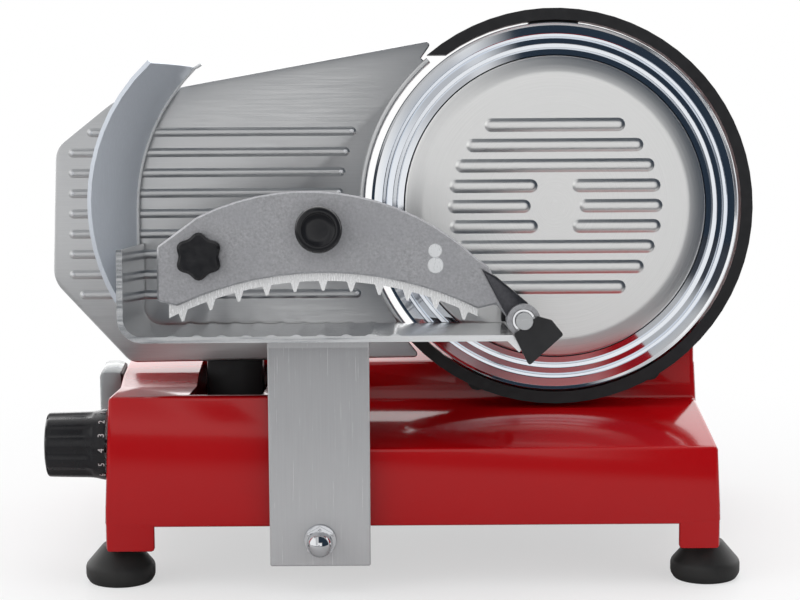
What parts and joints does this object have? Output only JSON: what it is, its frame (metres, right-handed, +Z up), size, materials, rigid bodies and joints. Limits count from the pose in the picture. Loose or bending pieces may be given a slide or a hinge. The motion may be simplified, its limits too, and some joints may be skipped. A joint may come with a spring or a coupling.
{
  "type": "electric meat slicer",
  "caption": "Gravity-feed food slicer with a motor-driven round blade, sliding tray with meat grip, ribbed thickness plate, dial and blade guards.",
  "frame": {"origin": "on the table under the middle of the whole machine at rest", "axes": "+X to the user's right along the carriage travel, +Y away from the user, +Z up"},
  "size_m": [0.4204, 0.311, 0.3201],
  "materials": {
    "red_enamel": "glossy",
    "black_plastic": "satin",
    "rubber": "matte",
    "brushed_steel": "brushed",
    "chrome": "polished",
    "aluminium": "polished",
    "cast_aluminium": "cast",
    "bronze": "satin",
    "grey_hood": "translucent gloss",
    "motor_paint": "satin"
  },
  "bodies": {
    "base": {"base_casting": "red_enamel", "bottom_cover": "brushed_steel", "front_left_foot": "rubber", "front_right_foot": "rubber", "rear_left_foot": "rubber", "rear_right_foot": "rubber", "rear_cover": "black_plastic", "cord_gland": "black_plastic", "drive_plate": "cast_aluminium", "blade_spindle": "brushed_steel", "motor_body": "motor_paint", "drive_belt": "rubber", "blade_cover": "brushed_steel", "ring_guard": "black_plastic", "slice_deflector": "brushed_steel", "gauge_guide_bar": "chrome", "switch_hood": "grey_hood", "switch_body": "black_plastic", "carriage_rod": "chrome", "carriage_guide_bar": "brushed_steel"},
    "blade": {"blade": "chrome", "blade_hub_pulley": "cast_aluminium", "front_bearing": "chrome", "rear_bearing": "chrome"},
    "motor_rotor": {"motor_pulley": "brushed_steel"},
    "tie_rod": {"tie_rod_knob": "black_plastic"},
    "gauge": {"gauge_plate": "aluminium", "gauge_support": "black_plastic"},
    "dial": {"thickness_dial": "black_plastic", "dial_shaft": "brushed_steel", "cam_disc": "brushed_steel"},
    "start_button": {"start_button": "grey_hood"},
    "stop_button": {"stop_button": "black_plastic"},
    "carriage": {"carriage_block": "cast_aluminium", "left_bush": "bronze", "right_bush": "bronze", "carriage_post": "brushed_steel", "post_washer": "chrome", "cap_nut": "chrome", "post_stud": "brushed_steel", "food_tray": "aluminium", "hand_guard": "aluminium", "pusher_rod": "brushed_steel", "front_rod_block": "black_plastic", "rear_rod_block": "black_plastic"},
    "pusher_sleeve": {"pusher_bush": "bronze"},
    "pusher": {"pusher_plate": "cast_aluminium", "tooth_strip": "brushed_steel", "pusher_knob": "black_plastic"},
    "star_knob": {"star_knob": "black_plastic"}
  },
  "joints": [
    {"name": "carriage_slide", "type": "slide", "parent": "base", "child": "carriage", "axis": [1, 0, 0], "range_m": [-0.04, 0.15]},
    {"name": "pusher_slide", "type": "slide", "parent": "carriage", "child": "pusher_sleeve", "axis": [0, 0.9903, -0.1392], "range_m": [0, 0.104]},
    {"name": "pusher_swing", "type": "hinge", "parent": "pusher_sleeve", "child": "pusher", "pos_m": [0.0662, -0.12838, 0.15951], "axis": [0, 0.9903, -0.1392], "range_deg": [0, 100]},
    {"name": "star_knob_spin", "type": "hinge", "parent": "pusher", "child": "star_knob", "pos_m": [-0.1127, -0.13518, 0.19733], "axis": [0, -0.9903, 0.1392], "range_deg": [0, 720]},
    {"name": "dial_spin", "type": "hinge", "parent": "base", "child": "dial", "pos_m": [-0.1855, -0.07845, 0.078], "axis": [-1, 0, 0], "range_deg": [0, 300]},
    {"name": "gauge_slide", "type": "slide", "parent": "base", "child": "gauge", "axis": [0, 0.9903, -0.1392], "range_m": [0, 0.015]},
    {"name": "blade_spin", "type": "hinge", "parent": "base", "child": "blade", "pos_m": [0.0912, 0.00695, 0.2027], "axis": [0, -0.9903, 0.1392], "continuous": true},
    {"name": "motor_spin", "type": "hinge", "parent": "base", "child": "motor_rotor", "pos_m": [0.1212, 0.02976, 0.12073], "axis": [0, -0.9903, 0.1392], "continuous": true},
    {"name": "tie_rod_spin", "type": "hinge", "parent": "base", "child": "tie_rod", "pos_m": [0.0912, 0.13569, 0.18461], "axis": [0, 0.9903, -0.1392], "range_deg": [0, 1080]},
    {"name": "start_button_press", "type": "slide", "parent": "base", "child": "start_button", "axis": [1, 0, 0], "range_m": [0, 0.002], "stiffness_N_per_m": 600},
    {"name": "stop_button_press", "type": "slide", "parent": "base", "child": "stop_button", "axis": [1, 0, 0], "range_m": [0, 0.002], "stiffness_N_per_m": 600}
  ],
  "couplings": [
    {"joint": "gauge_slide", "follows": "dial_spin", "m_per_rad": 0.0028647},
    {"joint": "motor_spin", "follows": "blade_spin", "ratio": 2.963}
  ]
}
